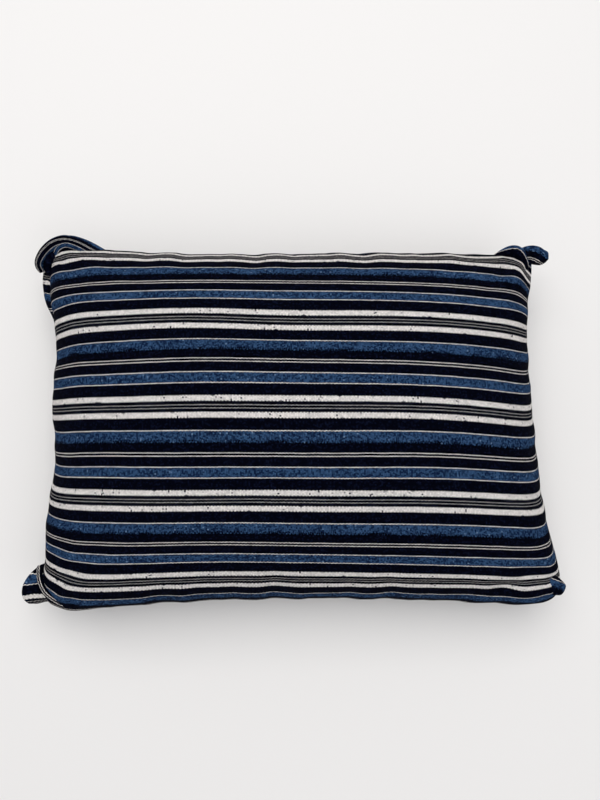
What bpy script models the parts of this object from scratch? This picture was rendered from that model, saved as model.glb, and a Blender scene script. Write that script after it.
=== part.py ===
"""A filled rectangular cushion of striped cotton, lying on its back with its face up.

Two flat panels are sewn together round their edges and filled. Each corner of the cloth is
drawn in and gathered, and what is left of it stands out past the seam as a soft ear.
Metres, +Z up. X runs along the stripes and +Y points to the cushion's top edge. The origin
is on the floor, in the middle of the flat area that the back rests on.
"""

import math
from collections import namedtuple

import bmesh
import bpy
import numpy as np
from mathutils import Vector

# The panels as cut, from seam to seam.
CLOTH_WIDTH = 0.559
CLOTH_HEIGHT = 0.406

# The filled form.
SEAM_HEIGHT = 0.060  # the seam above the floor
CROWN = 0.082  # the middle of the face above the seam
BACK_DEPTH = 0.080  # the back's bulge below the seam, before the floor flattens it
PROFILE_POWER = 2.1  # 2 gives a round crown, more gives a flatter one
PROFILE_EDGE = 0.62  # 0.5 gives an upright edge, more gives a leaner one
CORNER_FULLNESS = 2.2  # how much the crown widens towards the corners
HALF_WIDTH = 0.2445  # of the filled form, for the share of cloth that its edge takes up
HALF_HEIGHT = 0.176
CORNER_ROUNDING = 18  # how sharply each side turns in to its gathered corner

# Where the gathered corners lie, in plan.
CORNERS = {
    "top_left": (-0.246, 0.171),
    "top_right": (0.2317, 0.1772),
    "bottom_left": (-0.238, -0.167),
    "bottom_right": (0.252, -0.165),
}

# How far each side stands outside the line between its two corners: in its middle, where it is
# drawn in, and near each end, where the filling pushes it out. A high power keeps the bulge
# close to the corner. The left side also swings in and out in a slow wave.
Side = namedtuple("Side", "start finish outward middle near_start near_finish power swing")
SIDES = {
    "bottom": Side("bottom_left", "bottom_right", (0, -1), 0.0084, 0.0220, 0.0180, 2.3, 0.0),
    "top": Side("top_left", "top_right", (0, 1), -0.0010, 0.0120, -0.0065, 2.5, 0.0),
    "left": Side("bottom_left", "top_left", (-1, 0), -0.0015, 0.0095, 0.0060, 2.5, 0.0020),
    "right": Side("bottom_right", "top_right", (1, 0), 0.0006, 0.0185, 0.0215, 3.0, 0.0),
}
SWING_WAVES = 3.0  # per half side
SWING_PHASE = -1.05

# The gathers along the seam: soft waves across it, which fade inwards over the cloth.
Pucker = namedtuple("Pucker", "waves height phase")
PUCKERS = (
    Pucker(waves=9.0, height=0.0015, phase=0.4),
    Pucker(waves=14.0, height=0.0011, phase=2.1),
)
PUCKER_REACH = 0.013  # how far in from the seam they stand highest
PUCKER_OUTWARD = 0.5  # the share of a wave that moves the seam outwards
SEAM_WANDER = 0.0030  # how far the seam line rises and falls

# Soft troughs pressed into the face, each from start to finish in plan.
Crease = namedtuple("Crease", "start finish depth width")
CREASES = (
    Crease(start=(0.150, -0.172), finish=(0.228, -0.142), depth=0.0060, width=0.0080),
    Crease(start=(0.222, -0.118), finish=(0.247, -0.098), depth=0.0045, width=0.0070),
    Crease(start=(-0.234, -0.150), finish=(-0.190, -0.158), depth=0.0040, width=0.0090),
    Crease(start=(-0.236, 0.160), finish=(-0.170, 0.164), depth=0.0035, width=0.0080),
    Crease(start=(0.196, 0.168), finish=(0.236, 0.142), depth=0.0045, width=0.0085),
)

# Below the top left ear the back's cloth bulges out past the seam.
BULGE_OUT = 0.0147
BULGE_FROM, BULGE_TO = 0.092, 0.200  # in Y
BULGE_DROP = 0.010  # below the seam

# The ears. Each row is one section across an ear, from inside the cushion to the tip: its
# centre, with z above the seam, then half its width in plan and half its thickness.
Section = namedtuple("Section", "x y z half_width half_thickness")
EARS = {
    "top_left": (
        Section(-0.188, 0.166, 0.002, 0.0080, 0.0080),
        Section(-0.204, 0.174, 0.004, 0.0090, 0.0100),
        Section(-0.217, 0.1795, 0.005, 0.0095, 0.0110),
        Section(-0.230, 0.183, 0.006, 0.0095, 0.0120),
        Section(-0.242, 0.1785, 0.006, 0.0098, 0.0125),
        Section(-0.2495, 0.171, 0.005, 0.0098, 0.0125),
        Section(-0.2545, 0.163, 0.003, 0.0088, 0.0115),
        Section(-0.256, 0.159, 0.001, 0.0065, 0.0085),
        Section(-0.255, 0.154, 0.000, 0.0030, 0.0040),
    ),
    "top_right": (
        Section(0.216, 0.161, 0.001, 0.0070, 0.0080),
        Section(0.226, 0.166, 0.003, 0.0100, 0.0105),
        Section(0.235, 0.169, 0.005, 0.0108, 0.0115),
        Section(0.244, 0.170, 0.006, 0.0105, 0.0115),
        Section(0.252, 0.169, 0.006, 0.0098, 0.0105),
        Section(0.258, 0.168, 0.005, 0.0080, 0.0085),
        Section(0.262, 0.167, 0.004, 0.0035, 0.0040),
    ),
    "bottom_left": (
        Section(-0.222, -0.152, 0.000, 0.0120, 0.0100),
        Section(-0.234, -0.156, -0.002, 0.0155, 0.0095),
        Section(-0.244, -0.160, -0.004, 0.0175, 0.0080),
        Section(-0.253, -0.164, -0.006, 0.0160, 0.0075),
        Section(-0.260, -0.168, -0.007, 0.0110, 0.0065),
        Section(-0.264, -0.171, -0.008, 0.0040, 0.0035),
    ),
    "bottom_right": (
        Section(0.234, -0.151, 0.000, 0.0120, 0.0100),
        Section(0.246, -0.160, -0.001, 0.0112, 0.0105),
        Section(0.254, -0.1645, -0.002, 0.0108, 0.0105),
        Section(0.260, -0.167, -0.003, 0.0088, 0.0085),
        Section(0.2645, -0.1685, -0.004, 0.0035, 0.0040),
    ),
}

# The folds that run along each ear.
EAR_FOLDS = 3
FOLD_DEPTH = 0.13  # as a share of the ear's width
FOLD_TWIST = 0.12  # how far the folds turn from one ring to the next, in radians

# How finely the solid is faceted.
COLUMNS, ROWS = 56, 40
EAR_SIDES = 18
EAR_STEPS = 2  # rings for each row of an ear's table
PROFILE_SAMPLES = 400

INDIGO = (0.020, 0.035, 0.085, 1.0)
CLOTH_ROUGHNESS = 0.92


def clear_scene():
    for obj in list(bpy.data.objects):
        bpy.data.objects.remove(obj)


def side_point(side, position):
    """A point of the seam in plan, at a position from -1 to 1 along one side."""
    start, finish = Vector(CORNERS[side.start]), Vector(CORNERS[side.finish])
    reach = abs(position)
    near_end = side.near_start if position < 0 else side.near_finish
    stands_out = side.middle + (near_end - side.middle) * reach**side.power
    stands_out += side.swing * math.cos(SWING_WAVES * math.pi * position + SWING_PHASE)
    stands_out *= math.sqrt(max(0.0, 1 - reach**CORNER_ROUNDING))
    fade = 1 - reach**6
    stands_out += fade * PUCKER_OUTWARD * pucker_wave(position, side)
    return start.lerp(finish, (position + 1) / 2) + Vector(side.outward) * stands_out


def pucker_wave(position, side):
    """The height of the seam's gathers at a position along one side."""
    offset = 1.7 * side.outward[0] + 0.9 * side.outward[1]
    return sum(
        p.height * math.cos(p.waves * math.pi * position + p.phase + offset)
        for p in PUCKERS
    )


def plan_point(across, up):
    """A point inside the seam, in plan, from two shares that each run from -1 to 1."""
    u, v = (across + 1) / 2, (up + 1) / 2
    bottom, top = side_point(SIDES["bottom"], across), side_point(SIDES["top"], across)
    left, right = side_point(SIDES["left"], up), side_point(SIDES["right"], up)
    low = Vector(CORNERS["bottom_left"]).lerp(Vector(CORNERS["bottom_right"]), u)
    high = Vector(CORNERS["top_left"]).lerp(Vector(CORNERS["top_right"]), u)
    return bottom.lerp(top, v) + left.lerp(right, u) - low.lerp(high, v)


def crown_share(across, up):
    """How high the cloth stands over a point in plan, from 0 on the seam to 1 in the middle."""
    power_across = PROFILE_POWER + CORNER_FULLNESS * up**4
    power_up = PROFILE_POWER + CORNER_FULLNESS * across**4
    inside = (1 - abs(across) ** power_across) * (1 - abs(up) ** power_up)
    return max(0.0, inside) ** PROFILE_EDGE


def plan_shares(half_extent, steps):
    """Where evenly spaced lines of the flat cloth lie in plan, because the cloth follows the crown."""
    share = np.sin(np.linspace(0, math.pi / 2, PROFILE_SAMPLES))
    height = CROWN * (1 - share**PROFILE_POWER) ** PROFILE_EDGE
    along = np.hypot(np.diff(share * half_extent), np.diff(height)).cumsum()
    cloth = np.concatenate([[0], along]) / along[-1]
    lines = np.linspace(-1, 1, steps + 1)
    return np.sign(lines) * np.interp(abs(lines), cloth, share)


def crease_depth(place):
    """How deep the face is pressed in at a point in plan."""
    deep = 0.0
    for crease in CREASES:
        start, run = Vector(crease.start), Vector(crease.finish) - Vector(crease.start)
        share = (place - start).dot(run) / run.length_squared
        held = min(1.0, max(0.0, share))
        away = (place - start - run * held).length / crease.width
        taper = math.sin(math.pi * (0.15 + 0.7 * held))
        deep += crease.depth * taper * math.exp(-away * away)
    return deep


def seam_height(across, up):
    """The seam wanders a little in height, and so does the cloth beside it."""
    wander = math.sin(2.3 * across + 0.6) * math.cos(1.9 * up - 0.4)
    return SEAM_HEIGHT + SEAM_WANDER * wander


def gathers(across, up):
    """The height of the gathers over a point, from the nearer parts of the seam."""
    height = 0.0
    for name, along, inward, half in (
        ("bottom", across, 1 + up, HALF_HEIGHT),
        ("top", across, 1 - up, HALF_HEIGHT),
        ("left", up, 1 + across, HALF_WIDTH),
        ("right", up, 1 - across, HALF_WIDTH),
    ):
        reach = inward * half / PUCKER_REACH
        height += pucker_wave(along, SIDES[name]) * reach * math.exp(1 - reach)
    return height


def face_point(across, up):
    """A point on the cushion's face."""
    place = plan_point(across, up)
    share = crown_share(across, up)
    wave = gathers(across, up) - crease_depth(place)
    rise = CROWN * share + wave * min(1.0, 4 * share)
    return Vector((place.x, place.y, seam_height(across, up) + max(0.0, rise)))


def back_point(across, up):
    """A point on the cushion's back, flat where it rests on the floor."""
    place = plan_point(across, up)
    share = crown_share(across, up)
    drop = BACK_DEPTH * share - gathers(across, up) * min(1.0, 4 * share)
    if BULGE_FROM < place.y < BULGE_TO and across < 0:
        along = math.sin(math.pi * (place.y - BULGE_FROM) / (BULGE_TO - BULGE_FROM))
        below = drop / BULGE_DROP
        place.x -= BULGE_OUT * along * below * math.exp(1 - below)
    return Vector((place.x, place.y, max(0.0, seam_height(across, up) - drop)))


def add_quad(mesh, corners):
    if len(set(corners)) > 2:
        mesh.faces.new(corners)


def make_body():
    """The filled form, whose face and back share the points of the seam."""
    across = plan_shares(HALF_WIDTH, COLUMNS)
    up = plan_shares(HALF_HEIGHT, ROWS)
    mesh = bmesh.new()
    face, back = {}, {}
    for i, a in enumerate(across):
        for j, b in enumerate(up):
            face[i, j] = mesh.verts.new(face_point(a, b))
            on_seam = i in (0, COLUMNS) or j in (0, ROWS)
            back[i, j] = face[i, j] if on_seam else mesh.verts.new(back_point(a, b))
    for i in range(COLUMNS):
        for j in range(ROWS):
            ring = ((i, j), (i + 1, j), (i + 1, j + 1), (i, j + 1))
            add_quad(mesh, [face[k] for k in ring])
            add_quad(mesh, [back[k] for k in reversed(ring)])
    return object_from("cushion", mesh)


def smooth_sections(rows):
    """The sections of an ear, with more between them on a smooth curve."""
    values = np.array(rows)
    ends = np.vstack([2 * values[0] - values[1], values, 2 * values[-1] - values[-2]])
    made = []
    for k in range(len(rows) - 1):
        a, b, c, d = ends[k : k + 4]
        for t in np.arange(EAR_STEPS) / EAR_STEPS:
            bend = (c - a) * t + (2 * a - 5 * b + 4 * c - d) * t**2
            made.append(b + 0.5 * (bend + (3 * b - a - 3 * c + d) * t**3))
    return made + [values[-1]]


def make_ear(name, rows):
    """One gathered corner: rings along its sections, closed at both ends."""
    sections = [Section(*values) for values in smooth_sections(rows)]
    centres = [Vector((s.x, s.y, s.z + SEAM_HEIGHT)) for s in sections]
    mesh = bmesh.new()
    rings = []
    for k, section in enumerate(sections):
        ahead = centres[min(k + 1, len(centres) - 1)] - centres[max(k - 1, 0)]
        sideways = Vector((0, 0, 1)).cross(ahead).normalized()
        upwards = ahead.cross(sideways).normalized()
        ring = []
        for n in range(EAR_SIDES):
            angle = 2 * math.pi * n / EAR_SIDES
            fold = 1 + FOLD_DEPTH * math.cos(EAR_FOLDS * angle + FOLD_TWIST * k)
            wide = sideways * section.half_width * fold * math.cos(angle)
            thick = upwards * section.half_thickness * fold * math.sin(angle)
            ring.append(mesh.verts.new(centres[k] + wide + thick))
        rings.append(ring)
    for near, far in zip(rings, rings[1:]):
        for n in range(EAR_SIDES):
            after = (n + 1) % EAR_SIDES
            mesh.faces.new((near[n], near[after], far[after], far[n]))
    mesh.faces.new(reversed(rings[0]))
    mesh.faces.new(rings[-1])
    bmesh.ops.recalc_face_normals(mesh, faces=mesh.faces)
    ear = object_from("ear_" + name, mesh)
    ear.data.shade_smooth()
    ear.hide_render = True
    ear.display_type = "WIRE"
    return ear


def object_from(name, mesh):
    data = bpy.data.meshes.new(name)
    mesh.to_mesh(data)
    mesh.free()
    obj = bpy.data.objects.new(name, data)
    bpy.context.scene.collection.objects.link(obj)
    return obj


def join_ear(cushion, ear):
    """The ear is the corner of the same cloth, so it becomes one solid with the rest."""
    join = cushion.modifiers.new("join_" + ear.name, "BOOLEAN")
    join.operation = "UNION"
    join.solver = "EXACT"
    join.object = ear


def striped_cotton():
    material = bpy.data.materials.new("striped_cotton")
    material.use_nodes = True
    shader = material.node_tree.nodes["Principled BSDF"]
    shader.inputs["Base Color"].default_value = INDIGO
    shader.inputs["Roughness"].default_value = CLOTH_ROUGHNESS
    shader.inputs["Metallic"].default_value = 0.0
    return material


def main():
    clear_scene()
    cushion = make_body()
    cushion.data.materials.append(striped_cotton())
    cushion.data.shade_smooth()
    for name, rows in EARS.items():
        join_ear(cushion, make_ear(name, rows))


main()
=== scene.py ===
"""The looks of a filled, rectangular cushion in striped hand-woven cotton, on its back.

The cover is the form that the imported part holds, rebuilt from the same sizes with a finer
grid; its gathers and two of its creases are drawn more finely. A cloth simulation, told how
large the flat panels are, wrinkles it where the filled form has less room than the cloth
needs. The form itself stays as measured: only the wrinkles are kept. Metres, +Z up, X along
the stripes, +Y to the cushion's top edge.
"""

import math
from collections import namedtuple

import bmesh
import bpy
import numpy as np
from mathutils import Matrix, Vector

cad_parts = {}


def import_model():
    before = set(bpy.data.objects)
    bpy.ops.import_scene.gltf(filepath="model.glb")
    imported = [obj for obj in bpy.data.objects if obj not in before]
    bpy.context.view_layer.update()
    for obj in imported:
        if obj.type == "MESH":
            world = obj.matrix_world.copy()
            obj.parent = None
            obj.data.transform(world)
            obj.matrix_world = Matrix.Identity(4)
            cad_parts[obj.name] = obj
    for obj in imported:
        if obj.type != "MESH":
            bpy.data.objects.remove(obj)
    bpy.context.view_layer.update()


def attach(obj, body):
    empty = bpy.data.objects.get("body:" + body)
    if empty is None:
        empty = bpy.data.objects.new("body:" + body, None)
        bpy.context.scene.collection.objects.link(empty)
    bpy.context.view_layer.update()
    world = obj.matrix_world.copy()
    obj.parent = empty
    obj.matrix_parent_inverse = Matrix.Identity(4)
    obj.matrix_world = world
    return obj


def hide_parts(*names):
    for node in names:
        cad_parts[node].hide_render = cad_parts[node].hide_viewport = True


# The panels as cut, from seam to seam, and how much of each the gathered corners take up.
CLOTH_WIDTH, CLOTH_HEIGHT = 0.559, 0.406
EAR_TAKES_WIDTH, EAR_TAKES_HEIGHT = 0.022, 0.001
EAR_TAKES_POWER = 8  # high, so that only the cloth near a corner runs into its ear

# The filled form, of the same sizes as the part's.
SEAM_HEIGHT = 0.060  # above the floor
CROWN = 0.082  # the middle of the face above the seam
BACK_DEPTH = 0.080  # the back's bulge below the seam, before the floor flattens it
PROFILE_POWER = 2.1  # 2 gives a round crown, more gives a flatter one
PROFILE_EDGE = 0.62  # 0.5 gives an upright edge, more gives a leaner one
CORNER_FULLNESS = 2.2  # how much the crown widens towards the corners
HALF_WIDTH, HALF_HEIGHT = 0.2445, 0.176
CORNER_ROUNDING = 18  # how sharply each side turns in to its gathered corner
CORNERS = {
    "top_left": (-0.246, 0.171),
    "top_right": (0.2317, 0.1772),
    "bottom_left": (-0.238, -0.167),
    "bottom_right": (0.252, -0.165),
}
Side = namedtuple("Side", "start finish outward middle near_start near_finish power swing")
SIDES = {
    "bottom": Side("bottom_left", "bottom_right", (0, -1), 0.0084, 0.0220, 0.0180, 2.3, 0.0),
    "top": Side("top_left", "top_right", (0, 1), -0.0010, 0.0120, -0.0065, 2.5, 0.0),
    "left": Side("bottom_left", "top_left", (-1, 0), -0.0015, 0.0095, 0.0060, 2.5, 0.0020),
    "right": Side("bottom_right", "top_right", (1, 0), 0.0006, 0.0185, 0.0215, 3.0, 0.0),
}
SWING_WAVES = 3.0  # per half side
SWING_PHASE = -1.05
SEAM_WANDER = 0.0030  # how far the seam line rises and falls
Wave = namedtuple("Wave", "turn phase")  # in radians; turn is for each half of the cushion
WANDER_ACROSS, WANDER_UP = Wave(2.3, 0.6), Wave(1.9, -0.4)

# Below the top left ear the back's cloth bulges out past the seam.
BULGE_OUT = 0.0147
BULGE_FROM, BULGE_TO = 0.092, 0.200  # in Y
BULGE_DROP = 0.010  # below the seam

# Waves of the gathered seam, in waves per half side. The last two are the small puckers
# between stitches, which the part leaves out.
Pucker = namedtuple("Pucker", "waves height phase reach")
PUCKERS = (
    Pucker(waves=9.0, height=0.0015, phase=0.4, reach=0.013),
    Pucker(waves=14.0, height=0.0011, phase=2.1, reach=0.013),
    Pucker(waves=27.0, height=0.0005, phase=1.1, reach=0.008),
    Pucker(waves=43.0, height=0.0004, phase=0.2, reach=0.006),
)
PUCKER_OUTWARD = 0.3  # the share of a wave that moves the seam outwards
PUCKER_SHIFT = (1.7, 0.9)  # of phase, so that no two sides match
ENDS_POWER = 6  # high, so that the waves keep their height until close to a corner
FADE_IN = 4  # the gathers and creases are whole from a quarter of the crown's height

# Soft troughs pressed into the face, each from start to finish in plan. The first two are
# narrower than in the part, and a little off its own.
Crease = namedtuple("Crease", "start finish depth width")
CREASES = (
    Crease(start=(0.182, -0.163), finish=(0.218, -0.150), depth=0.0060, width=0.0050),
    Crease(start=(0.232, -0.124), finish=(0.256, -0.108), depth=0.0045, width=0.0055),
    Crease(start=(-0.234, -0.150), finish=(-0.190, -0.158), depth=0.0040, width=0.0090),
    Crease(start=(-0.236, 0.160), finish=(-0.170, 0.164), depth=0.0035, width=0.0080),
    Crease(start=(0.196, 0.168), finish=(0.236, 0.142), depth=0.0045, width=0.0085),
)
CREASE_FROM, CREASE_SPAN = 0.15, 0.7  # of half a wave, so that a trough's ends keep some depth

# The cloth simulation, and how much of it is kept.
COLUMNS, ROWS = 112, 82
PROFILE_SAMPLES = 400
SIMULATED_FRAMES = 20
CLOTH_SETTINGS = {
    "quality": 5,
    "mass": 0.15,
    "tension_stiffness": 15,
    "compression_stiffness": 15,
    "shear_stiffness": 3,
    "bending_stiffness": 0.2,
    "use_pressure": True,
    "uniform_pressure_force": 4.0,
}
HELD_ACROSS, HELD_UP = 0.95, 0.94  # the corners are held from these shares of a panel outwards
WRINKLE_CAP = 0.006
TINY = 1e-12  # keeps a length that is divided by off nought
FORM_BLUR = 160  # rounds of averaging that part the form from the wrinkles
SEAM_SUNK = 0.0024  # how far the stitching draws the seam in
SEAM_PUFF = 0.0008  # how far the cloth beside it stands out
SEAM_BESIDE = 0.22  # where that cloth is, as a share of one cell
WRINKLE_SLIDE = 0.15  # how much of a wrinkle's slide along the form is kept
WRINKLE_MIDDLE = 0.30  # how much of the wrinkles is kept in the middle of a panel, pulled taut
WRINKLE_REACH = 14.0  # in cells: how far in from the seam the cloth stays wrinkled
OUTLINE_REACH = 8.0  # in cells: how far in from the seam the outline's own drift is undone

# Where the weave is pulled up the cushion, or down where the pull is negative, in plan.
Pull = namedtuple("Pull", "x y reach_x reach_y up")
PULLS = (
    Pull(x=-0.245, y=-0.060, reach_x=0.090, reach_y=0.200, up=0.0060),
    Pull(x=-0.100, y=-0.190, reach_x=0.160, reach_y=0.160, up=0.0043),
    Pull(x=0.200, y=-0.165, reach_x=0.160, reach_y=0.020, up=0.0057),
    Pull(x=-0.235, y=-0.140, reach_x=0.020, reach_y=0.040, up=0.0069),
    Pull(x=-0.100, y=0.080, reach_x=0.080, reach_y=0.080, up=0.0045),
    Pull(x=-0.235, y=0.110, reach_x=0.020, reach_y=0.080, up=-0.0028),
    Pull(x=0.150, y=-0.030, reach_x=0.080, reach_y=0.080, up=0.0016),
    Pull(x=0.000, y=0.080, reach_x=0.160, reach_y=0.020, up=-0.0027),
    Pull(x=0.000, y=-0.140, reach_x=0.160, reach_y=0.020, up=0.0025),
    Pull(x=0.100, y=0.170, reach_x=0.080, reach_y=0.040, up=-0.0023),
    Pull(x=0.253, y=0.160, reach_x=0.016, reach_y=0.039, up=-0.0340),
    Pull(x=-0.235, y=-0.140, reach_x=0.040, reach_y=0.040, up=0.0033),
    Pull(x=-0.100, y=-0.165, reach_x=0.080, reach_y=0.040, up=0.0017),
    Pull(x=-0.235, y=0.080, reach_x=0.080, reach_y=0.020, up=-0.0018),
    Pull(x=-0.235, y=-0.030, reach_x=0.040, reach_y=0.040, up=-0.0018),
    Pull(x=-0.250, y=0.140, reach_x=0.040, reach_y=0.020, up=-0.0016),
    Pull(x=-0.250, y=-0.070, reach_x=0.020, reach_y=0.040, up=0.0021),
    Pull(x=0.250, y=-0.110, reach_x=0.040, reach_y=0.020, up=-0.0021),
    Pull(x=0.258, y=-0.143, reach_x=0.018, reach_y=0.012, up=-0.0050),
    Pull(x=0.250, y=0.110, reach_x=0.020, reach_y=0.040, up=-0.0041),
    Pull(x=0.222, y=0.168, reach_x=0.018, reach_y=0.012, up=0.0075),
    Pull(x=0.206, y=-0.148, reach_x=0.016, reach_y=0.007, up=-0.0025),
    Pull(x=0.198, y=-0.158, reach_x=0.012, reach_y=0.006, up=0.0025),
    Pull(x=0.222, y=-0.166, reach_x=0.014, reach_y=0.008, up=-0.0028),
)

# The ears. A section is one ring across an ear: its centre, with z above the seam, half its
# width in plan, half its thickness, and where its middle lies up the cloth.
Section = namedtuple("Section", "x y z half_width half_thickness up_cloth")
# gather: how much cloth is drawn up in each unit of an ear's width, towards -sideways.
# turn: how far the weave turns round the ear along its length, in radians.
Ear = namedtuple("Ear", "gather turn folds fold_depth twist sections")
EARS = {
    "top_left_roll": Ear(2.4, 0.0, 4, 0.10, 0.6, (
        Section(-0.186, 0.165, 0.001, 0.0070, 0.0075, 0.2165),
        Section(-0.204, 0.1735, 0.003, 0.0088, 0.0098, 0.2140),
        Section(-0.217, 0.179, 0.004, 0.0095, 0.0110, 0.2110),
        Section(-0.230, 0.182, 0.004, 0.0095, 0.0115, 0.2090),
        Section(-0.240, 0.178, 0.002, 0.0085, 0.0105, 0.2070),
        Section(-0.246, 0.170, -0.001, 0.0055, 0.0065, 0.2050),
    )),
    "top_left_hood": Ear(2.6, 0.0, 3, 0.14, 0.7, (
        Section(-0.2250, 0.1845, 0.005, 0.0050, 0.0060, 0.2180),
        Section(-0.2330, 0.1848, 0.008, 0.0068, 0.0080, 0.2180),
        Section(-0.2438, 0.1812, 0.009, 0.0064, 0.0080, 0.2180),
        Section(-0.2525, 0.1738, 0.009, 0.0056, 0.0075, 0.2175),
        Section(-0.2583, 0.1650, 0.007, 0.0050, 0.0070, 0.2150),
        Section(-0.2593, 0.1590, 0.005, 0.0042, 0.0060, 0.2120),
        Section(-0.2575, 0.1535, 0.002, 0.0025, 0.0035, 0.2100),
    )),
    # Cloth turned in behind the top left hood, taken wholly from a navy band and laid over the
    # face's corner so the hollow reads dark: partly the real turned-in cloth, partly painted shade
    # standing in for the shadow in that cavity.
    "top_left_lining_and_cavity_shade": Ear(0.3, 0.0, 3, 0.10, 0.4, (
        Section(-0.2440, 0.1765, 0.003, 0.0045, 0.0050, 0.2100),
        Section(-0.2480, 0.1700, 0.004, 0.0060, 0.0060, 0.2100),
        Section(-0.2500, 0.1630, 0.004, 0.0062, 0.0060, 0.2100),
        Section(-0.2500, 0.1560, 0.003, 0.0055, 0.0055, 0.2100),
        Section(-0.2480, 0.1500, 0.001, 0.0030, 0.0035, 0.2100),
    )),
    "top_right_shoulder": Ear(-1.45, 0.0, 2, 0.05, 0.2, (
        Section(0.2080, 0.1685, 0.001, 0.0026, 0.0045, 0.1878),
        Section(0.2160, 0.1716, 0.004, 0.0050, 0.0075, 0.1913),
        Section(0.2245, 0.1736, 0.006, 0.0066, 0.0095, 0.1936),
        Section(0.2308, 0.1722, 0.006, 0.0070, 0.0100, 0.1942),
        Section(0.2355, 0.1665, 0.005, 0.0062, 0.0090, 0.1930),
        Section(0.2385, 0.1590, 0.003, 0.0045, 0.0070, 0.1905),
        Section(0.2395, 0.1510, -0.002, 0.0022, 0.0035, 0.1872),
    )),
    "top_right": Ear(-1.3, -1.0, 5, 0.16, 1.5, (
        Section(0.2335, 0.1695, -0.004, 0.0085, 0.0085, 0.2165),
        Section(0.2390, 0.1703, 0.000, 0.0106, 0.0112, 0.2175),
        Section(0.2450, 0.1705, 0.004, 0.0105, 0.0115, 0.2190),
        Section(0.2520, 0.1695, 0.006, 0.0098, 0.0105, 0.2210),
        Section(0.2580, 0.1680, 0.005, 0.0080, 0.0085, 0.2230),
        Section(0.2620, 0.1670, 0.004, 0.0035, 0.0040, 0.2240),
    )),
    "bottom_left": Ear(0.9, 0.0, 4, 0.10, 0.5, (
        Section(-0.2280, -0.1540, -0.005, 0.0150, 0.0080, -0.1355),
        Section(-0.2395, -0.1590, -0.006, 0.0195, 0.0075, -0.1405),
        Section(-0.2475, -0.1630, -0.007, 0.0184, 0.0070, -0.1445),
        Section(-0.2545, -0.1682, -0.008, 0.0160, 0.0065, -0.1497),
        Section(-0.2600, -0.1740, -0.009, 0.0118, 0.0055, -0.1555),
        Section(-0.2635, -0.1785, -0.010, 0.0050, 0.0035, -0.1600),
    )),
    "bottom_left_fold": Ear(1.3, 0.0, 2, 0.05, 0.2, (
        Section(-0.2490, -0.1425, 0.000, 0.0018, 0.0030, -0.1197),
        Section(-0.2470, -0.1525, 0.003, 0.0028, 0.0040, -0.1197),
        Section(-0.2425, -0.1615, 0.005, 0.0034, 0.0050, -0.1197),
        Section(-0.2362, -0.1690, 0.006, 0.0036, 0.0055, -0.1197),
        Section(-0.2220, -0.1780, 0.005, 0.0036, 0.0055, -0.1197),
        Section(-0.2080, -0.1815, 0.002, 0.0026, 0.0040, -0.1197),
    )),
    "bottom_right": Ear(-1.2, 0.5, 4, 0.14, 0.8, (
        Section(0.2390, -0.1510, -0.002, 0.0095, 0.0090, -0.1850),
        Section(0.2480, -0.1560, 0.002, 0.0108, 0.0105, -0.1860),
        Section(0.2545, -0.1600, 0.003, 0.0108, 0.0110, -0.1870),
        Section(0.2600, -0.1630, 0.002, 0.0090, 0.0095, -0.1880),
        Section(0.2635, -0.1655, 0.000, 0.0058, 0.0060, -0.1890),
        Section(0.2650, -0.1670, -0.001, 0.0025, 0.0030, -0.1890),
    )),
}
EAR_SIDES = 64
EAR_STEPS = 7

# The weave. Threads run along X, and neighbours go over and under by turns, so at each pick
# every second one shows. Bands are counted in threads, down from where a repeat starts;
# "ragged" is the lower edge of a blue band, where the dye has bled.
THREAD = 0.0007
PICK = 0.0016  # along a thread, from one pick to the next
REPEAT_START = 278  # in threads, up from the middle of the face
Band = namedtuple("Band", "threads kind")
BANDS = (
    Band(15, "navy"), Band(7, "white"), Band(4, "navy"), Band(2, "faint"), Band(2, "navy"),
    Band(2, "faint"), Band(4, "navy"), Band(7, "white"), Band(15, "navy"), Band(2, "thin"),
    Band(11, "blue"), Band(3, "ragged"), Band(12, "navy"), Band(2, "thin"), Band(2, "navy"),
    Band(2, "thin"), Band(12, "navy"), Band(2, "thin"), Band(12, "blue"), Band(2, "thin"),
)
# How much a band shows of white, blue and line, in the red, green and blue of a ramp.
BAND_MASKS = {
    "navy": (0, 0, 0, 1),
    "white": (1, 0, 0, 1),
    "blue": (0, 1, 0, 1),
    "thin": (0, 0, 1, 1),
    "faint": (0, 0, 0.40, 1),
    "ragged": (0, 0.5, 0, 1),
}
BACK_CLOTH_UP = 0.0145  # the back's stripes lie this much lower than the face's
BACK_CLOTH_ALONG = 0.700

# Grains of noise: their size along the threads and across them, and their fine detail.
Grain = namedtuple("Grain", "along across detail")
SWAY = Grain(0.150, 0.060, 0.0)
WOBBLE = Grain(0.015, 0.009, 1.0)
JITTER = Grain(0.012, 0.006, 2.0)
STREAKS = Grain(0.0008, 0.0040, 1.0)
SLUB = Grain(0.012, 0.0009, 2.0)
PATCHES = Grain(0.030, 0.012, 2.0)
DASHES = Grain(0.0032, 0.0009, 1.0)
CRINKLE = Grain(0.013, 0.009, 3.0)

# How far the noise moves the threads across, and the picks along.
SWAY_REACH, WOBBLE_REACH, JITTER_REACH = 0.0012, 0.0006, 0.0020
ROUND_ALONG = (0.7, 0.3)  # the share of a thread's height that falls at its ends, and the rest
LINE_STEP = 0.18  # in pairs of threads, so that a line zigzags by less than a thread
LINE_STRENGTH = (0.60, 0.55)  # how much the dashes add, and what shows without them
# Painted shade between the threads: each thread's colour is darkened towards its edges, where it
# dips under its neighbours.
PAINTED_SHADE_BETWEEN = (0.60, 0.45)  # how much a thread's height lightens it, and what is left

# Where a look starts and is whole, in the value that gives it.
SOLID_BLUE, RAGGED_BLUE = (0.6, 0.9), (0.1, 0.4)
BLED = (0.49, 0.51)
LIGHTER_BLUE, BLUE_FLECKS = (0.42, 0.88), (0.985, 1.000)
WORN, DARK_FLECKS = (0.52, 0.85), (0.962, 1.000)
DASHED = (0.36, 0.62)
LINE_EDGE = (0.60, 0.25)

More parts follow.
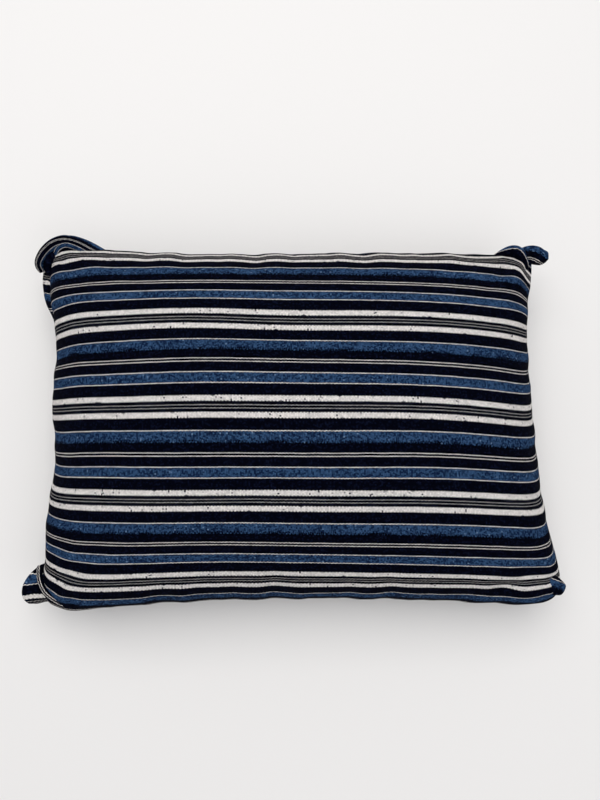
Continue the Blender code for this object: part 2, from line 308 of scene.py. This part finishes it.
Bump = namedtuple("Bump", "strength distance")
CRINKLE_BUMP, WEAVE_BUMP = Bump(0.5, 0.0016), Bump(0.6, 0.0004)
SLUB_RELIEF = 0.4
CLOTH_ROUGHNESS, CLOTH_SPECULAR = 0.92, 0.02
FLOOR_ROUGHNESS = 0.75

WHITE = (0.865, 0.820, 0.785, 1)
WHITE_SHADE = (0.42, 0.40, 0.39, 1)
NAVY = (0.0004, 0.0007, 0.0036, 1)
NAVY_WORN = (0.0040, 0.0062, 0.0190, 1)
BLUE = (0.0036, 0.0100, 0.0340, 1)
BLUE_LIGHT = (0.0310, 0.0740, 0.1600, 1)
BLUE_FLECK = (0.110, 0.180, 0.290, 1)
FLOOR = (0.79, 0.775, 0.76, 1)
FLOOR_HALF = 4.0

# The inputs and the output of a node that mixes two colours.
MIX_INPUTS, MIX_OUTPUT = (0, 6, 7), 2

Light = namedtuple("Light", "name place size power colour")
LIGHTS = (
    Light("key", (-0.20, 1.00, 2.20), (2.2, 1.8), 38, (1.0, 0.99, 0.975)),
    Light("fill", (0.9, -1.2, 2.2), (2.0, 2.0), 12, (0.97, 0.98, 1.0)),
)
ROOM_COLOUR, ROOM_STRENGTH = (0.96, 0.97, 1.0, 1), 0.55

# The photo's camera, in the frame of the face.
PHOTO_WIDTH, PHOTO_HEIGHT = 600, 800
FOCAL_PIXELS = 649.0
SENSOR = 36.0
VIEW_TILT = math.radians(6.0)
VIEW_DISTANCE = 0.657
VIEW_CENTRE = Vector((0.008, 0.0215, SEAM_HEIGHT))


def pucker_wave(position, side, pucker):
    """The height of one wave of the gathers along a side."""
    offset = PUCKER_SHIFT[0] * side.outward[0] + PUCKER_SHIFT[1] * side.outward[1]
    return pucker.height * np.cos(pucker.waves * math.pi * position + pucker.phase + offset)


def side_line(side, position):
    """Points of the seam in plan, at positions from -1 to 1 along one side."""
    start, finish = np.array(CORNERS[side.start]), np.array(CORNERS[side.finish])
    reach = np.abs(position)
    near_end = np.where(position < 0, side.near_start, side.near_finish)
    stands_out = side.middle + (near_end - side.middle) * reach**side.power
    stands_out = stands_out + side.swing * np.cos(SWING_WAVES * math.pi * position + SWING_PHASE)
    stands_out = stands_out * np.sqrt(np.clip(1 - reach**CORNER_ROUNDING, 0, None))
    along = (position[..., None] + 1) / 2
    return start + (finish - start) * along + np.array(side.outward) * stands_out[..., None]


def beside_sides(across, up):
    """For each side, the shares along it and how far in from it the points lie."""
    return (
        ("bottom", across, (1 + up) * HALF_HEIGHT),
        ("top", across, (1 - up) * HALF_HEIGHT),
        ("left", up, (1 + across) * HALF_WIDTH),
        ("right", up, (1 - across) * HALF_WIDTH),
    )


def plan(across, up):
    """Points inside the seam, in plan, from two shares that each run from -1 to 1."""
    u, v = (across[..., None] + 1) / 2, (up[..., None] + 1) / 2
    corner = {name: np.array(place) for name, place in CORNERS.items()}
    bottom, top = side_line(SIDES["bottom"], across), side_line(SIDES["top"], across)
    left, right = side_line(SIDES["left"], up), side_line(SIDES["right"], up)
    low = corner["bottom_left"] * (1 - u) + corner["bottom_right"] * u
    high = corner["top_left"] * (1 - u) + corner["top_right"] * u
    place = bottom * (1 - v) + top * v + left * (1 - u) + right * u - low * (1 - v) - high * v
    for name, along, inset in beside_sides(across, up):
        side = SIDES[name]
        waves = sum(pucker_wave(along, side, p) * np.exp(-inset / p.reach) for p in PUCKERS)
        place += (PUCKER_OUTWARD * (1 - along**ENDS_POWER) * waves)[..., None] * side.outward
    return place


def crown_share(across, up):
    """How high the cloth stands, from 0 on the seam to 1 in the middle."""
    power_across = PROFILE_POWER + CORNER_FULLNESS * up**4
    power_up = PROFILE_POWER + CORNER_FULLNESS * across**4
    inside = (1 - np.abs(across) ** power_across) * (1 - np.abs(up) ** power_up)
    return np.clip(inside, 0, None) ** PROFILE_EDGE


def plan_shares(half_extent, steps):
    """Where evenly spaced lines of the flat cloth lie in plan."""
    share = np.sin(np.linspace(0, math.pi / 2, PROFILE_SAMPLES))
    height = CROWN * (1 - share**PROFILE_POWER) ** PROFILE_EDGE
    along = np.hypot(np.diff(share * half_extent), np.diff(height)).cumsum()
    cloth = np.concatenate([[0], along]) / along[-1]
    lines = np.linspace(-1, 1, steps + 1)
    return np.sign(lines) * np.interp(np.abs(lines), cloth, share)


def crease_depth(place):
    """How deep the face is pressed in at points in plan."""
    deep = np.zeros(place.shape[:-1])
    for crease in CREASES:
        start, run = np.array(crease.start), np.array(crease.finish) - np.array(crease.start)
        held = np.clip((place - start) @ run / (run @ run), 0, 1)
        away = np.linalg.norm(place - start - run * held[..., None], axis=-1) / crease.width
        along = math.pi * (CREASE_FROM + CREASE_SPAN * held)
        deep += crease.depth * np.sin(along) * np.exp(-away * away)
    return deep


def gathers(across, up):
    """The height of the gathers, from the nearer parts of the seam."""
    height = np.zeros_like(across)
    for name, along, inset in beside_sides(across, up):
        for pucker in PUCKERS:
            reach = inset / pucker.reach
            height += pucker_wave(along, SIDES[name], pucker) * reach * np.exp(1 - reach)
    return height


def filled_form(across, up):
    """The face and the back as grids of points that share their edges."""
    place = plan(across, up)
    share = crown_share(across, up)
    sways = np.sin(WANDER_ACROSS.turn * across + WANDER_ACROSS.phase)
    wander = sways * np.cos(WANDER_UP.turn * up + WANDER_UP.phase)
    seam = SEAM_HEIGHT + SEAM_WANDER * wander
    waves = gathers(across, up)
    fade = np.minimum(1, FADE_IN * share)
    rise = np.clip(CROWN * share + (waves - crease_depth(place)) * fade, 0, None)
    drop = BACK_DEPTH * share - waves * fade
    span = (place[..., 1] - BULGE_FROM) / (BULGE_TO - BULGE_FROM)
    bulging = (span > 0) & (span < 1) & (across < 0)
    below = drop / BULGE_DROP
    out = np.where(bulging, BULGE_OUT * np.sin(math.pi * span) * below * np.exp(1 - below), 0)
    face = np.dstack([place, seam + rise])
    back = np.dstack([place[..., 0] - out, place[..., 1], np.clip(seam - drop, 0, None)])
    return face, back


def cloth_places(across, up):
    """Where each point of the grid lies on the flat panel, in metres from its middle."""
    width = CLOTH_WIDTH / 2 - EAR_TAKES_WIDTH * np.abs(up) ** EAR_TAKES_POWER
    height = CLOTH_HEIGHT / 2 - EAR_TAKES_HEIGHT * np.abs(across) ** EAR_TAKES_POWER
    return np.dstack([across * width, up * height])


def grid_faces(numbers):
    """Quads over a grid of vertex numbers, facing the side it is numbered from."""
    a, b = numbers[:-1, :-1], numbers[1:, :-1]
    c, d = numbers[1:, 1:], numbers[:-1, 1:]
    return np.stack([a, b, c, d], axis=-1).reshape(-1, 4)


def new_mesh(name, points, faces, cloth):
    """A mesh object with a map of where each corner of its faces lies on the flat cloth."""
    data = bpy.data.meshes.new(name)
    data.from_pydata(points.tolist(), [], faces.tolist())
    layer = data.uv_layers.new(name="cloth")
    layer.data.foreach_set("uv", cloth.astype(np.float32).ravel())
    data.shade_smooth()
    obj = bpy.data.objects.new(name, data)
    bpy.context.scene.collection.objects.link(obj)
    return obj


def smooth(obj):
    modifier = obj.modifiers.new("smooth", "SUBSURF")
    modifier.levels = modifier.render_levels = 1


def make_cover():
    """The cover's two panels, joined along the seam."""
    lines_across = np.linspace(-1, 1, COLUMNS + 1)
    lines_up = np.linspace(-1, 1, ROWS + 1)
    cloth = cloth_places(*np.meshgrid(lines_across, lines_up, indexing="ij"))
    share_across, share_up = plan_shares(HALF_WIDTH, COLUMNS), plan_shares(HALF_HEIGHT, ROWS)
    across, up = np.meshgrid(share_across, share_up, indexing="ij")
    face, back = filled_form(across, up)

    face, back = wrinkled(face, back, np.dstack([cloth, np.zeros(across.shape)]))
    woven = cloth.copy()
    woven[..., 1] -= pulled_up(face)
    face, back, woven = edged(face), edged(back), edged(woven)
    face, back = sewn(face, back)

    on_face = np.arange(woven[..., 0].size).reshape(woven.shape[:2])
    on_back = numbered_back(on_face)
    behind = woven + (BACK_CLOTH_ALONG, BACK_CLOTH_UP)
    map_front = woven.reshape(-1, 2)[grid_faces(on_face)]
    map_back = behind.reshape(-1, 2)[grid_faces(on_face)[:, ::-1]]
    cover = new_mesh(
        "cover",
        joined_points(face, back),
        np.concatenate([grid_faces(on_face), grid_faces(on_back)[:, ::-1]]),
        np.concatenate([map_front, map_back]),
    )
    smooth(cover)
    return cover


def numbered_back(on_face):
    """Vertex numbers of the back, which shares the seam's vertices with the face."""
    on_back = on_face.copy()
    inner = on_back[1:-1, 1:-1]
    inner[...] = on_face.size + np.arange(inner.size).reshape(inner.shape)
    return on_back


def joined_points(face, back):
    return np.concatenate([face.reshape(-1, 3), back[1:-1, 1:-1].reshape(-1, 3)])


def pulled_up(face):
    """How far the weave is pulled up the cushion at each point of the face."""
    up = np.zeros(face.shape[:-1])
    for pull in PULLS:
        x, y = (face[..., 0] - pull.x) / pull.reach_x, (face[..., 1] - pull.y) / pull.reach_y
        up += pull.up * np.exp(-x * x - y * y)
    return up


def wrinkled(face, back, flat):
    """Let the cloth settle from the filled form, and keep the wrinkles that it makes."""
    on_face = np.arange(face[..., 0].size).reshape(face.shape[:2])
    on_back = numbered_back(on_face)
    points = joined_points(face, back)
    faces = np.concatenate([grid_faces(on_face), grid_faces(on_back)[:, ::-1]])
    across = np.abs(np.linspace(-1, 1, face.shape[0]))[:, None]
    up = np.abs(np.linspace(-1, 1, face.shape[1]))[None, :]
    at_corner = (across > HELD_ACROSS) & (up > HELD_UP)
    on_floor = back[..., 2] <= 0
    held = on_face[at_corner].tolist() + on_back[at_corner | on_floor].tolist()
    after = settled_points(points, faces, joined_points(flat, flat), held)

    new_face, new_back = face + kept(after[on_face], face), back + kept(after[on_back], back)
    for edge in (np.s_[0, :], np.s_[-1, :], np.s_[:, 0], np.s_[:, -1]):
        new_back[edge] = new_face[edge]
    new_back[..., 2] = np.clip(new_back[..., 2], 0, None)
    return new_face, new_back


def settled_points(points, faces, flat_points, held_points):
    """Where the cloth's points lie after the simulation, which starts from the filled form."""
    trial = new_mesh("trial", points, faces, np.zeros((faces.size, 2)))
    trial.shape_key_add(name="filled")
    panel = trial.shape_key_add(name="flat")
    panel.data.foreach_set("co", flat_points.astype(np.float32).ravel())
    trial.vertex_groups.new(name="held").add(held_points, 1.0, "REPLACE")

    cloth = trial.modifiers.new("cloth", "CLOTH")
    cloth.settings.rest_shape_key = panel
    cloth.settings.vertex_group_mass = "held"
    for name, value in CLOTH_SETTINGS.items():
        setattr(cloth.settings, name, value)
    cloth.settings.effector_weights.gravity = 0
    cloth.collision_settings.use_collision = False
    cloth.point_cache.frame_start = 1
    cloth.point_cache.frame_end = SIMULATED_FRAMES
    scene = bpy.context.scene
    for frame in range(1, SIMULATED_FRAMES + 1):
        scene.frame_set(frame)
    settled = trial.evaluated_get(bpy.context.evaluated_depsgraph_get()).data
    after = np.empty(len(settled.vertices) * 3)
    settled.vertices.foreach_get("co", after)
    scene.frame_set(1)
    bpy.data.objects.remove(trial)
    return after.reshape(-1, 3)


def kept(settled, form):
    """The wrinkles in how far the cloth has moved: the broad swelling is left out."""
    moved = settled - form
    wrinkle = blurred(moved, 1) - blurred(moved, FORM_BLUR)
    facing = np.cross(np.gradient(form, axis=0), np.gradient(form, axis=1))
    facing /= np.maximum(np.linalg.norm(facing, axis=-1, keepdims=True), TINY)
    outwards = (wrinkle * facing).sum(axis=-1, keepdims=True) * facing
    wrinkle = outwards + (wrinkle - outwards) * WRINKLE_SLIDE
    columns, rows = (np.minimum(np.arange(n), np.arange(n)[::-1]) for n in form.shape[:2])
    taut = 1 - np.exp(-np.minimum.outer(columns, rows) / WRINKLE_REACH)
    wrinkle *= 1 - (1 - WRINKLE_MIDDLE) * taut[..., None]
    sideways = wrinkle.swapaxes(0, 1)
    for turned in (wrinkle, wrinkle[::-1], sideways, sideways[::-1]):
        drift = blurred(turned[:1].copy(), FORM_BLUR)
        inward = np.arange(len(turned))[:, None, None]
        turned -= drift * np.exp(-inward / OUTLINE_REACH)
    length = np.linalg.norm(wrinkle, axis=-1, keepdims=True)
    return wrinkle * np.minimum(1, WRINKLE_CAP / np.maximum(length, TINY))


def blurred(values, rounds):
    """A grid averaged with its neighbours, over and over."""
    for _ in range(rounds):
        wide = np.pad(values, ((1, 1), (1, 1), (0, 0)), mode="edge")
        sides = wide[:-2, 1:-1] + wide[2:, 1:-1] + wide[1:-1, :-2] + wide[1:-1, 2:]
        values = (wide[1:-1, 1:-1] * 2 + sides) / 6
    return values


def edged(values):
    """The grid with one more line of points close beside each of its edges."""
    for axis in (0, 1):
        lines = np.moveaxis(values, axis, 0)
        first = lines[:1] + (lines[1:2] - lines[:1]) * SEAM_BESIDE
        last = lines[-1:] + (lines[-2:-1] - lines[-1:]) * SEAM_BESIDE
        lines = np.concatenate([lines[:1], first, lines[1:-1], last, lines[-1:]])
        values = np.moveaxis(lines, 0, axis)
    return values.copy()


def sewn(face, back):
    """The stitching draws the seam in a little between the two panels, which puff beside it."""
    middle = np.array([0.0, 0.0, SEAM_HEIGHT])
    seam = (np.s_[0, 1:-1], np.s_[-1, 1:-1], np.s_[1:-1, 0], np.s_[1:-1, -1])
    beside = (np.s_[1, 2:-2], np.s_[-2, 2:-2], np.s_[2:-2, 1], np.s_[2:-2, -2])
    for panel in (face, back):
        for lines, moved in ((seam, SEAM_SUNK), (beside, -SEAM_PUFF)):
            for line in lines:
                inward = middle - panel[line]
                panel[line] += inward * moved / np.linalg.norm(inward, axis=-1, keepdims=True)
    return face, back


def smooth_sections(rows):
    """The sections of an ear, with more between them on a smooth curve."""
    values = np.array(rows)
    ends = np.vstack([2 * values[0] - values[1], values, 2 * values[-1] - values[-2]])
    made = []
    for k in range(len(rows) - 1):
        a, b, c, d = ends[k : k + 4]
        for t in np.arange(EAR_STEPS) / EAR_STEPS:
            bend = (c - a) * t + (2 * a - 5 * b + 4 * c - d) * t**2
            made.append(b + 0.5 * (bend + (3 * b - a - 3 * c + d) * t**3))
    return np.array(made + [values[-1]])


def make_ear(name, ear):
    """One gathered corner of the cloth: rings along its sections, with folds along it."""
    sections = smooth_sections(ear.sections)
    centres = sections[:, :3] + (0, 0, SEAM_HEIGHT)
    ahead = np.gradient(centres, axis=0)
    sideways = np.cross((0, 0, 1), ahead)
    sideways /= np.linalg.norm(sideways, axis=1, keepdims=True)
    upwards = np.cross(ahead, sideways)
    upwards /= np.linalg.norm(upwards, axis=1, keepdims=True)
    angle = np.linspace(-math.pi, math.pi, EAR_SIDES + 1)[None, :]
    along = np.linspace(0, 1, len(sections))[:, None]
    fold = 1 - ear.fold_depth * np.abs(np.sin(ear.folds * angle / 2 + ear.twist * along * math.pi))
    wide = (sections[:, 3:4] * fold * np.cos(angle))[..., None] * sideways[:, None]
    thick = (sections[:, 4:5] * fold * np.sin(angle))[..., None] * upwards[:, None]
    rings = centres[:, None] + wide + thick

    length = np.concatenate([[0], np.linalg.norm(np.diff(centres, axis=0), axis=1).cumsum()])
    across = -np.cos(angle + ear.turn * along) * sections[:, 3:4]
    up_cloth = sections[:, 5:6] + ear.gather * across
    along_cloth = np.broadcast_to(length[:, None], up_cloth.shape) + sections[0, 0]
    cloth = np.dstack([along_cloth, up_cloth])

    numbers = np.arange(len(sections) * EAR_SIDES).reshape(len(sections), EAR_SIDES)
    round_numbers = np.concatenate([numbers, numbers[:, :1]], axis=1)
    places = grid_faces(np.arange(cloth[..., 0].size).reshape(cloth.shape[:2]))
    points, faces = rings[:, :-1].reshape(-1, 3), grid_faces(round_numbers)
    obj = new_mesh("ear_" + name, points, faces, cloth.reshape(-1, 2)[places])
    close_ends(obj)
    smooth(obj)
    return obj


def close_ends(obj):
    """Cap an ear's two open ends, with the cloth of the ring round each."""
    mesh = bmesh.new()
    mesh.from_mesh(obj.data)
    layer = mesh.loops.layers.uv["cloth"]
    beside = {loop.vert: loop[layer].uv.copy() for face in mesh.faces for loop in face.loops}
    holes = bmesh.ops.holes_fill(mesh, edges=[e for e in mesh.edges if e.is_boundary])
    for cap in holes["faces"]:
        for loop in cap.loops:
            loop[layer].uv = beside[loop.vert]
    bmesh.ops.recalc_face_normals(mesh, faces=mesh.faces)
    mesh.to_mesh(obj.data)
    mesh.free()


class Weave:
    """Short ways to add and join the nodes of a material."""

    def __init__(self, name):
        self.material = bpy.data.materials.new(name)
        self.material.use_nodes = True
        self.tree = self.material.node_tree
        self.shader = self.tree.nodes["Principled BSDF"]

    def node(self, kind, values=(), **settings):
        made = self.tree.nodes.new(kind)
        for key, value in settings.items():
            setattr(made, key, value)
        for socket, value in dict(values).items():
            self.put(made.inputs[socket], value)
        return made

    def put(self, socket, value):
        if isinstance(value, bpy.types.NodeSocket):
            self.tree.links.new(value, socket)
        else:
            socket.default_value = value

    def maths(self, operation, *values):
        made = self.node("ShaderNodeMath", dict(enumerate(values)), operation=operation)
        return made.outputs[0]

    def weighed(self, *pairs):
        """The sum of some values, each times its weight."""
        (value, weight), *others = pairs
        if not others:
            return self.maths("MULTIPLY", value, weight)
        return self.maths("MULTIPLY_ADD", value, weight, self.weighed(*others))

    def mix(self, share, first, second, blend="MIX"):
        made = self.node("ShaderNodeMix", data_type="RGBA", blend_type=blend)
        for number, value in zip(MIX_INPUTS, (share, first, second)):
            self.put(made.inputs[number], value)
        return made.outputs[MIX_OUTPUT]

    def noise(self, along, up, grain):
        """Noise with its own grain along and across the threads, from 0 to 1."""
        x, y = self.maths("DIVIDE", along, grain.along), self.maths("DIVIDE", up, grain.across)
        place = self.node("ShaderNodeCombineXYZ", {0: x, 1: y}).outputs[0]
        settings = {"Vector": place, "Scale": 1.0, "Detail": grain.detail}
        return self.node("ShaderNodeTexNoise", settings).outputs["Fac"]

    def between(self, value, low, high):
        """0 below low, 1 above high, smooth between."""
        ends = {0: value, 1: low, 2: high}
        made = self.node("ShaderNodeMapRange", ends, interpolation_type="SMOOTHSTEP")
        return made.outputs[0]

    def bump(self, height, bump, **settings):
        values = {"Height": height, "Strength": bump.strength, "Distance": bump.distance}
        return self.node("ShaderNodeBump", {**values, **settings}).outputs[0]


def band_masks(weave, thread):
    """How much white, blue and line shows on a thread."""
    total = sum(band.threads for band in BANDS)
    below = weave.maths("SUBTRACT", REPEAT_START - 0.5, thread)
    share = weave.maths("FRACT", weave.maths("DIVIDE", below, float(total)))
    ramp = weave.node("ShaderNodeValToRGB", {0: share})
    ramp.color_ramp.interpolation = "CONSTANT"
    points = ramp.color_ramp.elements
    threads = 0
    for number, band in enumerate(BANDS):
        point = points[number] if number < 2 else points.new(1.0)
        point.position = threads / total
        point.color = BAND_MASKS[band.kind]
        threads += band.threads
    return weave.node("ShaderNodeSeparateColor", {0: ramp.outputs[0]}).outputs


Threads = namedtuple("Threads", "number turn across height chance slub")


def lay_threads(weave, along, up):
    """Which thread shows at each place of the cloth, and where on it that place lies."""
    m = weave.maths
    sway = m("SUBTRACT", weave.noise(along, up, SWAY), 0.5)
    wobble = m("SUBTRACT", weave.noise(along, up, WOBBLE), 0.5)
    drawn = m("MULTIPLY_ADD", wobble, WOBBLE_REACH, m("MULTIPLY_ADD", sway, SWAY_REACH, up))
    jitter = m("SUBTRACT", weave.noise(along, up, JITTER), 0.5)
    picks = m("DIVIDE", m("MULTIPLY_ADD", jitter, JITTER_REACH, along), PICK)
    pick = m("FLOOR", picks)
    turn = m("FLOORED_MODULO", pick, 2.0)

    pairs = m("MULTIPLY", m("ADD", m("MULTIPLY_ADD", drawn, 1 / THREAD, 0.5), turn), 0.5)
    number = m("SUBTRACT", m("MULTIPLY", m("FLOOR", pairs), 2.0), turn)
    across = m("MULTIPLY_ADD", m("FRACT", pairs), 2.0, -1.0)
    lengthwise = m("MULTIPLY_ADD", m("FRACT", picks), 2.0, -1.0)
    round_across = m("SUBTRACT", 1.0, m("MULTIPLY", across, across))
    round_along = m("SUBTRACT", 1.0, m("MULTIPLY", lengthwise, lengthwise))
    round_both = m("MULTIPLY", round_across, m("MULTIPLY_ADD", round_along, *ROUND_ALONG))
    height = m("SQRT", round_both)

    cell = weave.node("ShaderNodeCombineXYZ", {0: pick, 1: number}).outputs[0]
    white_noise = weave.node("ShaderNodeTexWhiteNoise", {"Vector": cell}, noise_dimensions="2D")
    slub = weave.noise(along, m("MULTIPLY", number, THREAD), SLUB)
    return Threads(number, turn, across, height, white_noise.outputs[0], slub)


def line_strength(weave, along, line, threads):
    """How much a thin line shows: it is dashed, and zigzags from pick to pick."""
    m = weave.maths
    dashes = weave.noise(along, m("MULTIPLY", threads.number, THREAD), DASHES)
    shown = m("MULTIPLY_ADD", weave.between(dashes, *DASHED), *LINE_STRENGTH)
    middle = m("MULTIPLY_ADD", threads.turn, -2 * LINE_STEP, LINE_STEP)
    away = m("ABSOLUTE", m("SUBTRACT", threads.across, middle))
    return m("MULTIPLY", m("MULTIPLY", line, shown), weave.between(away, *LINE_EDGE))


def thread_colour(weave, along, up, threads):
    """The colour of each thread, with its dye uneven, and painted shade darkening each thread
    towards its edges, where it dips between its neighbours.
    """
    m = weave.maths
    white, blue, line = band_masks(weave, threads.number)
    streaks = weave.noise(along, up, STREAKS)
    patches = weave.noise(along, up, PATCHES)
    chance, slub = threads.chance, threads.slub

    bled = weave.between(weave.weighed((streaks, 0.6), (patches, 0.4)), *BLED)
    ragged = m("MULTIPLY", weave.between(blue, *RAGGED_BLUE), bled)
    blue = m("MAXIMUM", weave.between(blue, *SOLID_BLUE), ragged)
    tone = weave.weighed((chance, 0.42), (streaks, 0.50), (patches, 0.38))
    blue_colour = weave.mix(weave.between(tone, *LIGHTER_BLUE), BLUE, BLUE_LIGHT)
    blue_colour = weave.mix(weave.between(chance, *BLUE_FLECKS), blue_colour, BLUE_FLECK)
    worn = weave.between(weave.weighed((chance, 0.5), (slub, 0.5)), *WORN)
    navy_colour = weave.mix(worn, NAVY, NAVY_WORN)
    white_colour = weave.mix(weave.weighed((chance, 0.55), (slub, 0.25)), WHITE, WHITE_SHADE)
    white_colour = weave.mix(weave.between(chance, *DARK_FLECKS), white_colour, NAVY_WORN)

    colour = weave.mix(blue, navy_colour, blue_colour)
    colour = weave.mix(line_strength(weave, along, line, threads), colour, WHITE)
    colour = weave.mix(white, colour, white_colour)
    # Painted shade: the colour is darkened where a thread dips between its neighbours.
    painted_shade_between_threads = m("MULTIPLY_ADD", threads.height, *PAINTED_SHADE_BETWEEN)
    return weave.mix(1.0, colour, painted_shade_between_threads, blend="MULTIPLY")


def striped_cotton():
    """Bands of colour in a close plain weave, where every second thread shows at each pick."""
    weave = Weave("striped_cotton")
    place = weave.node("ShaderNodeUVMap", uv_map="cloth").outputs[0]
    split = weave.node("ShaderNodeSeparateXYZ", {0: place})
    along, up = split.outputs[0], split.outputs[1]
    threads = lay_threads(weave, along, up)
    weave.put(weave.shader.inputs["Base Color"], thread_colour(weave, along, up, threads))

    crinkled = weave.bump(weave.noise(along, up, CRINKLE), CRINKLE_BUMP)
    relief = weave.maths("MULTIPLY_ADD", threads.slub, SLUB_RELIEF, threads.height)
    weave.put(weave.shader.inputs["Normal"], weave.bump(relief, WEAVE_BUMP, Normal=crinkled))
    weave.shader.inputs["Roughness"].default_value = CLOTH_ROUGHNESS
    weave.shader.inputs["Specular IOR Level"].default_value = CLOTH_SPECULAR
    return weave.material


def make_floor():
    half = FLOOR_HALF
    points = np.array([(-half, -half, 0), (half, -half, 0), (half, half, 0), (-half, half, 0)])
    floor = new_mesh("floor", points, np.array([(0, 1, 2, 3)]), points[:, :2])
    paint = Weave("pale_floor")
    paint.shader.inputs["Base Color"].default_value = FLOOR
    paint.shader.inputs["Roughness"].default_value = FLOOR_ROUGHNESS
    floor.data.materials.append(paint.material)


def add_light(light):
    data = bpy.data.lights.new(light.name, "AREA")
    data.shape = "RECTANGLE"
    data.size, data.size_y = light.size
    data.energy = light.power
    data.color = light.colour
    obj = bpy.data.objects.new(light.name, data)
    obj.location = light.place
    aim = Vector((0, 0, SEAM_HEIGHT)) - Vector(light.place)
    obj.rotation_euler = aim.to_track_quat("-Z", "Y").to_euler()
    bpy.context.scene.collection.objects.link(obj)


def add_lights():
    """A wide soft light from above the top edge, and a pale room round it."""
    for light in LIGHTS:
        add_light(light)
    world = bpy.data.worlds.new("pale_room")
    world.use_nodes = True
    background = world.node_tree.nodes["Background"]
    background.inputs["Color"].default_value = ROOM_COLOUR
    background.inputs["Strength"].default_value = ROOM_STRENGTH
    bpy.context.scene.world = world
    bpy.context.scene.view_settings.view_transform = "Standard"


def add_camera():
    """The photo's own view of the face, tipped a little past square to it."""
    data = bpy.data.cameras.new("camera")
    data.sensor_width = SENSOR
    data.lens = FOCAL_PIXELS * SENSOR / max(PHOTO_WIDTH, PHOTO_HEIGHT)
    camera = bpy.data.objects.new("camera", data)
    ahead = Vector((0, math.sin(VIEW_TILT), -math.cos(VIEW_TILT)))
    up = Vector((0, math.cos(VIEW_TILT), math.sin(VIEW_TILT)))
    turn = Matrix((Vector((1, 0, 0)), up, -ahead)).transposed()
    camera.matrix_world = Matrix.LocRotScale(VIEW_CENTRE - ahead * VIEW_DISTANCE, turn, None)
    bpy.context.scene.collection.objects.link(camera)
    bpy.context.scene.camera = camera


def main():
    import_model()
    add_camera()
    cloth = striped_cotton()
    pieces = [make_cover()] + [make_ear(name, ear) for name, ear in EARS.items()]
    for piece in pieces:
        piece.data.materials.append(cloth)
        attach(piece, "root")
        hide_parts("cushion")
    make_floor()
    add_lights()


main()
